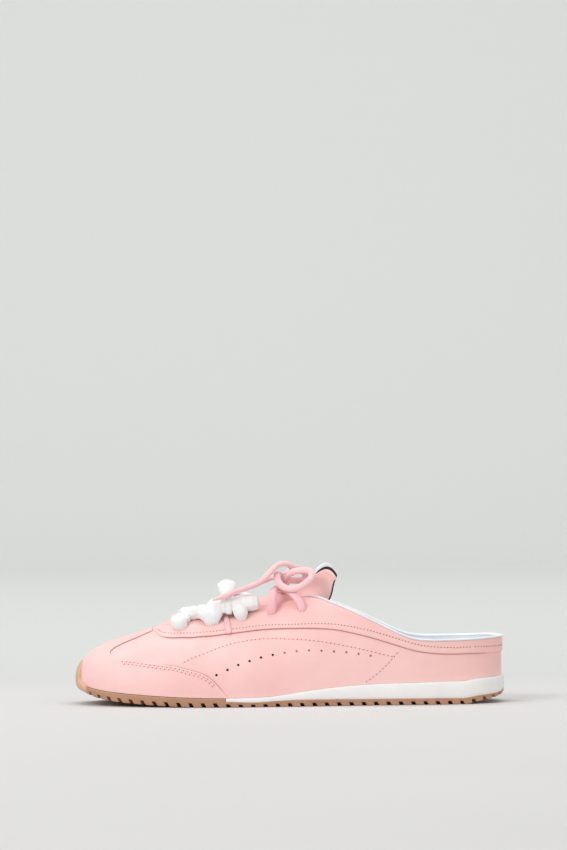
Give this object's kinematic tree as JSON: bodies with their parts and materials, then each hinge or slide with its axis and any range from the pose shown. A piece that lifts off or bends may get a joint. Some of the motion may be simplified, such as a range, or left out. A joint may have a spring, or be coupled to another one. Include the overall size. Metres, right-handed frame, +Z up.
{
  "type": "sneaker mule",
  "caption": "Low backless-style leather sneaker with a low heel rim, gum outsole, wedge midsole, standing tongue and a two-lace front.",
  "frame": {"origin": "on the floor plane under the middle of the shoe's length and of its ball width", "axes": "+X from the toe to the heel, +Z up, -Y towards the shoe's outer side"},
  "size_m": [0.2681, 0.0938, 0.0892],
  "materials": {
    "gum_rubber": "matt gum rubber",
    "white_foam": "smooth satin",
    "pink_leather": "fine smooth grain, low sheen",
    "white_binding": "soft matt",
    "white_lining": "matt textile",
    "white_ribbon": "soft brushed textile",
    "pink_cord": "woven tube"
  },
  "bodies": {
    "root": {"outsole": "gum_rubber", "midsole": "white_foam", "upper": "pink_leather", "toe_overlay": "pink_leather", "eyestay_band": "pink_leather", "collar_binding": "white_binding", "tongue": "pink_leather", "insole": "white_lining", "white_lace": "white_ribbon", "pink_lace": "pink_cord", "pink_knot": "pink_cord", "pink_loop_near": "pink_cord", "pink_loop_far": "pink_cord", "pink_end_near": "pink_cord", "pink_end_far": "pink_cord"}
  },
  "joints": []
}
